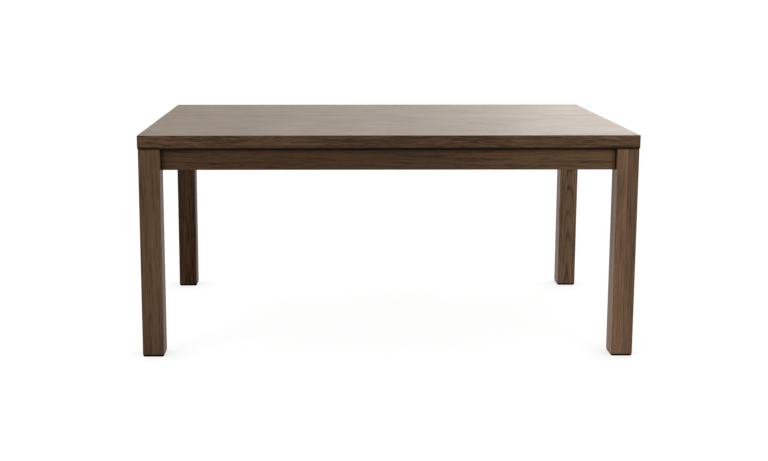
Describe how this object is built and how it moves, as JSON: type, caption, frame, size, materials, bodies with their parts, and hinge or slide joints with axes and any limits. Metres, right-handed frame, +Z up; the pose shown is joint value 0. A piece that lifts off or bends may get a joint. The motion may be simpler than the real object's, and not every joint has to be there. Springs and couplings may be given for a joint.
{
  "type": "dining table",
  "caption": "Parsons dining table: thick rectangular oak-veneered top flush over square corner legs, set-back aprons, bolted corner blocks and black foot pads.",
  "frame": {"origin": "on the floor, under the centre of the top", "axes": "+X along the length to the right as seen from the front, +Y from the front to the back, +Z up"},
  "size_m": [1.676, 1.016, 0.762],
  "materials": {
    "oak_veneer": "satin lacquer on brown stain",
    "solid_oak": "satin lacquer on brown stain",
    "panel_board": "raw board",
    "hardwood": "raw planed wood",
    "zinc_steel": "zinc plated",
    "black_plastic": "moulded matte"
  },
  "bodies": {
    "root": {"apron_back": "solid_oak", "apron_front": "solid_oak", "apron_left": "solid_oak", "apron_right": "solid_oak", "bolt_nuts": "zinc_steel", "bolt_washers": "zinc_steel", "centre_rail": "hardwood", "corner_block_back_left": "hardwood", "corner_block_back_right": "hardwood", "corner_block_front_left": "hardwood", "corner_block_front_right": "hardwood", "corner_block_screws": "zinc_steel", "foot_pad_back_left": "black_plastic", "foot_pad_back_right": "black_plastic", "foot_pad_front_left": "black_plastic", "foot_pad_front_right": "black_plastic", "foot_pad_screws": "zinc_steel", "hanger_bolts": "zinc_steel", "leg_back_left": "solid_oak", "leg_back_right": "solid_oak", "leg_front_left": "solid_oak", "leg_front_right": "solid_oak", "top_backing_veneer": "panel_board", "top_bracket_screws": "zinc_steel", "top_brackets": "zinc_steel", "top_core": "panel_board", "top_face_veneer": "oak_veneer", "top_lipping_back": "solid_oak", "top_lipping_front": "solid_oak", "top_lipping_left": "solid_oak", "top_lipping_right": "solid_oak", "top_strip_back": "panel_board", "top_strip_front": "panel_board", "top_strip_left": "panel_board", "top_strip_right": "panel_board"}
  },
  "joints": []
}
